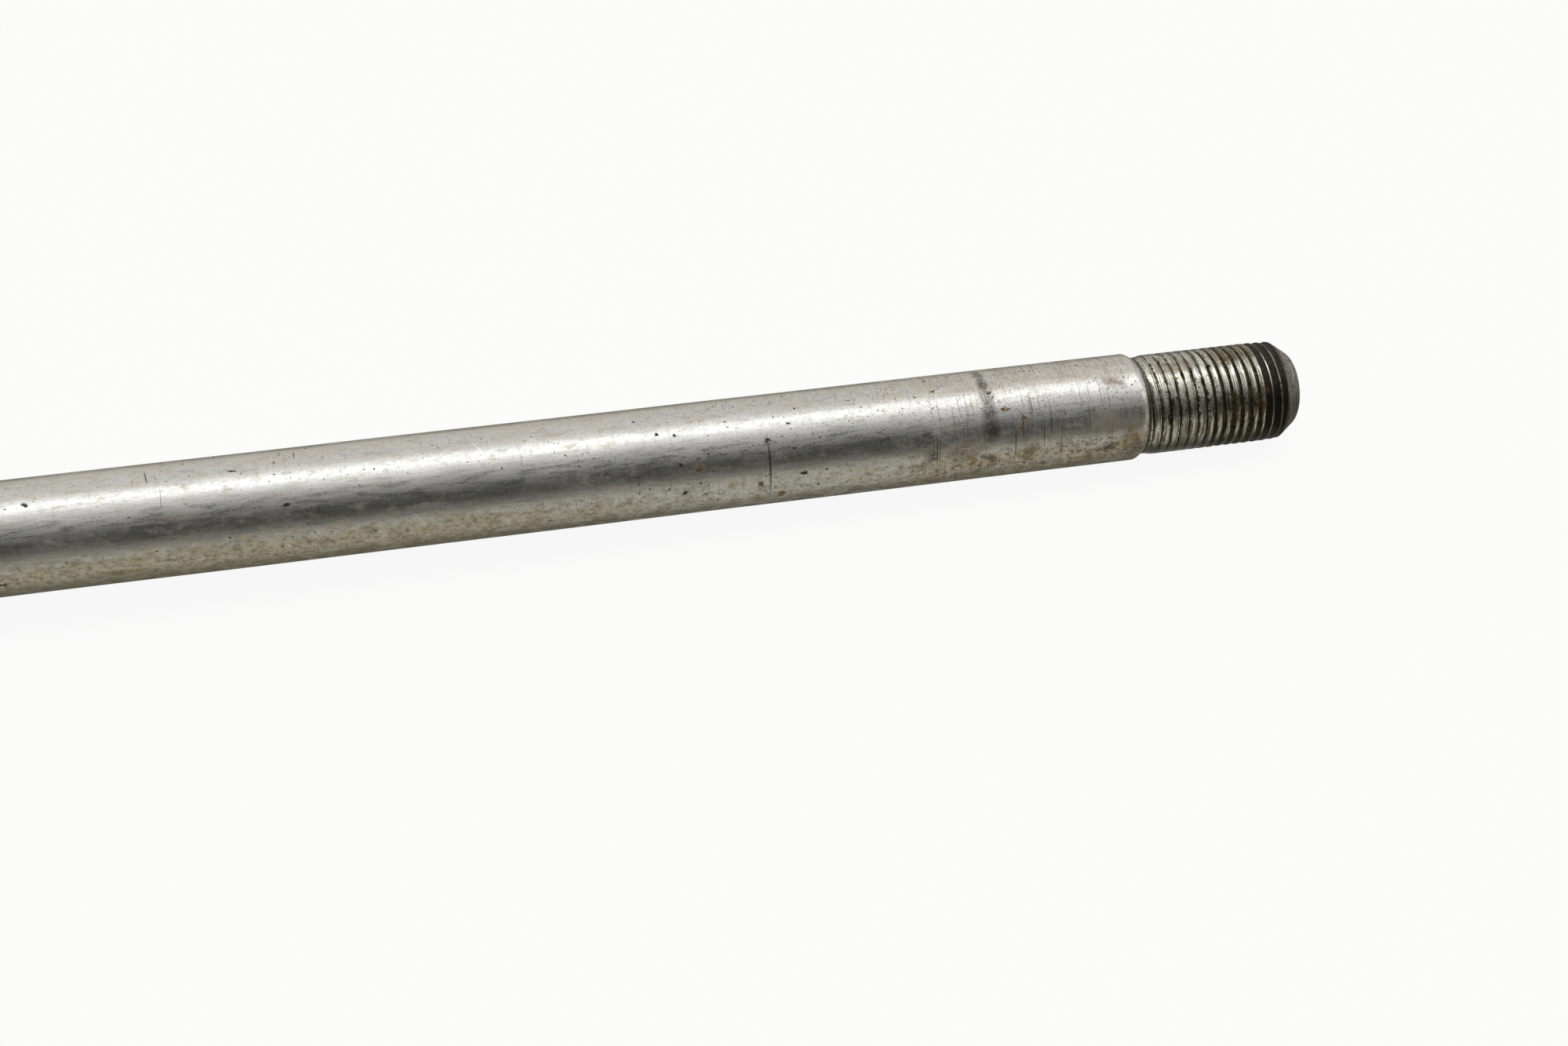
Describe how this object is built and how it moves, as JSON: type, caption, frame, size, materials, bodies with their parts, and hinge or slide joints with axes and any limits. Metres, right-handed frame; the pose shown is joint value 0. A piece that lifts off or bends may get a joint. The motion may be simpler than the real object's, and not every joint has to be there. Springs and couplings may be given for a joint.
{
  "type": "axle bolt",
  "caption": "One-piece steel wheel axle bolt with a hexagon head, a long smooth ground shank and a stepped-down fine-threaded end with a chamfered tip.",
  "frame": {"origin": "on the bolt's axis at the bearing face under the head", "axes": "+X along the bolt's axis from the head towards the threaded tip, +Z out of the middle of one flat of the hexagon"},
  "size_m": [0.2623, 0.0278, 0.024],
  "materials": {
    "steel": "worn bright zinc over ground steel, with stains and light rust"
  },
  "bodies": {
    "root": {"axle_bolt": "steel"}
  },
  "joints": []
}
